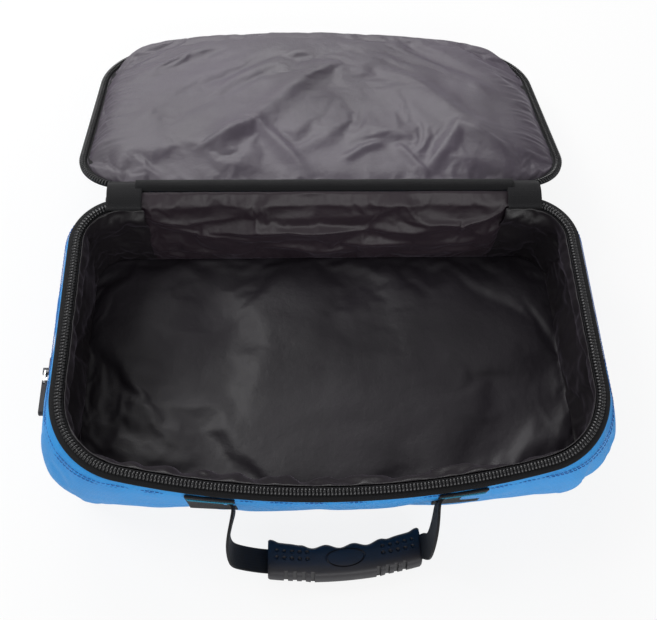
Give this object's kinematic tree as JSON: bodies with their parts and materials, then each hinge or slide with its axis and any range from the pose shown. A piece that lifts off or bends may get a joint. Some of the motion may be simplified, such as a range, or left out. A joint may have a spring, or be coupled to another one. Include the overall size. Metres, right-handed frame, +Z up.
{
  "type": "ski boot bag",
  "caption": "Open padded fabric boot bag: an oval-cornered tub with a zip round its rim, a hinged padded lid, a front carry handle and side pocket zips.",
  "frame": {"origin": "on the floor under the middle of the base panel, halfway between the back wall and the base's front edge", "axes": "+Z up, -Y towards the carry handle, +X to the right seen from the handle; the lid's hinge runs along X"},
  "size_m": [0.472, 0.5691, 0.111],
  "materials": {
    "blue_fabric": "woven polyester, bright blue",
    "base_fabric": "coated woven polyester",
    "board": "stiffener board",
    "foam": "closed-cell foam",
    "satin_lining": "satin, dark grey with a purple tint",
    "zip_tape": "woven tape, black",
    "zip_coil": "moulded nylon coil, black",
    "webbing": "black webbing",
    "rubber": "matt moulded rubber",
    "slider_metal": "black painted zinc",
    "ring_metal": "plated wire"
  },
  "bodies": {
    "tub": {"base_panel": "base_fabric", "base_board": "board", "floor_pad": "foam", "floor_lining": "satin_lining", "front_wall": "blue_fabric", "side_wall_left": "blue_fabric", "side_wall_right": "blue_fabric", "back_wall": "blue_fabric", "front_foam": "foam", "side_foam_left": "foam", "side_foam_right": "foam", "back_foam": "foam", "wall_lining": "satin_lining", "back_lining": "satin_lining", "tub_zip_tape": "zip_tape", "tub_zip_coil": "zip_coil", "back_binding": "zip_tape", "hinge_strip": "zip_tape", "zip_end_tab_left": "zip_tape", "zip_end_tab_right": "zip_tape", "main_slider_left": "slider_metal", "main_slider_right": "slider_metal", "handle_patch_left": "webbing", "handle_patch_right": "webbing", "strap_root_left": "webbing", "strap_root_right": "webbing", "side_zip_tape_left": "zip_tape", "side_zip_tape_right": "zip_tape", "side_zip_coil_left": "zip_coil", "side_zip_coil_right": "zip_coil"},
    "lid": {"lid_panel": "blue_fabric", "lid_wall": "blue_fabric", "lid_foam": "foam", "lid_padding": "foam", "lid_lining": "satin_lining", "lid_zip_tape": "zip_tape", "lid_zip_coil": "zip_coil"},
    "handle": {"handle_webbing": "webbing", "handle_grip": "rubber"},
    "side_slider_left": {"side_slider_left": "slider_metal"},
    "side_slider_right": {"side_slider_right": "slider_metal"},
    "side_pull_left": {"pull_ring_left": "ring_metal", "puller_left": "rubber"},
    "side_pull_right": {"pull_ring_right": "ring_metal", "puller_right": "rubber"},
    "main_pull_left": {"main_puller_left": "rubber"},
    "main_pull_right": {"main_puller_right": "rubber"}
  },
  "joints": [
    {"name": "lid_hinge", "type": "hinge", "parent": "tub", "child": "lid", "pos_m": [0, 0.1312, 0.106], "axis": [1, 0, 0], "range_deg": [0, 197.86]},
    {"name": "handle_swing", "type": "hinge", "parent": "tub", "child": "handle", "pos_m": [0, -0.1475, 0.078], "axis": [-1, 0, 0], "range_deg": [0, 150]},
    {"name": "side_zip_left", "type": "slide", "parent": "tub", "child": "side_slider_left", "axis": [0, 1, 0], "range_m": [0, 0.086]},
    {"name": "side_pull_left_swing", "type": "hinge", "parent": "side_slider_left", "child": "side_pull_left", "pos_m": [-0.2334, -0.013, 0.05], "axis": [0, 0, -1], "range_deg": [0, 180]},
    {"name": "main_pull_left_swing", "type": "hinge", "parent": "tub", "child": "main_pull_left", "pos_m": [-0.18, 0.1275, 0.1022], "axis": [0, 1, 0], "range_deg": [0, 90]},
    {"name": "side_zip_right", "type": "slide", "parent": "tub", "child": "side_slider_right", "axis": [0, 1, 0], "range_m": [0, 0.086]},
    {"name": "side_pull_right_swing", "type": "hinge", "parent": "side_slider_right", "child": "side_pull_right", "pos_m": [0.2334, -0.013, 0.05], "axis": [0, 0, 1], "range_deg": [0, 180]},
    {"name": "main_pull_right_swing", "type": "hinge", "parent": "tub", "child": "main_pull_right", "pos_m": [0.18, 0.1275, 0.1022], "axis": [0, -1, 0], "range_deg": [0, 90]}
  ]
}
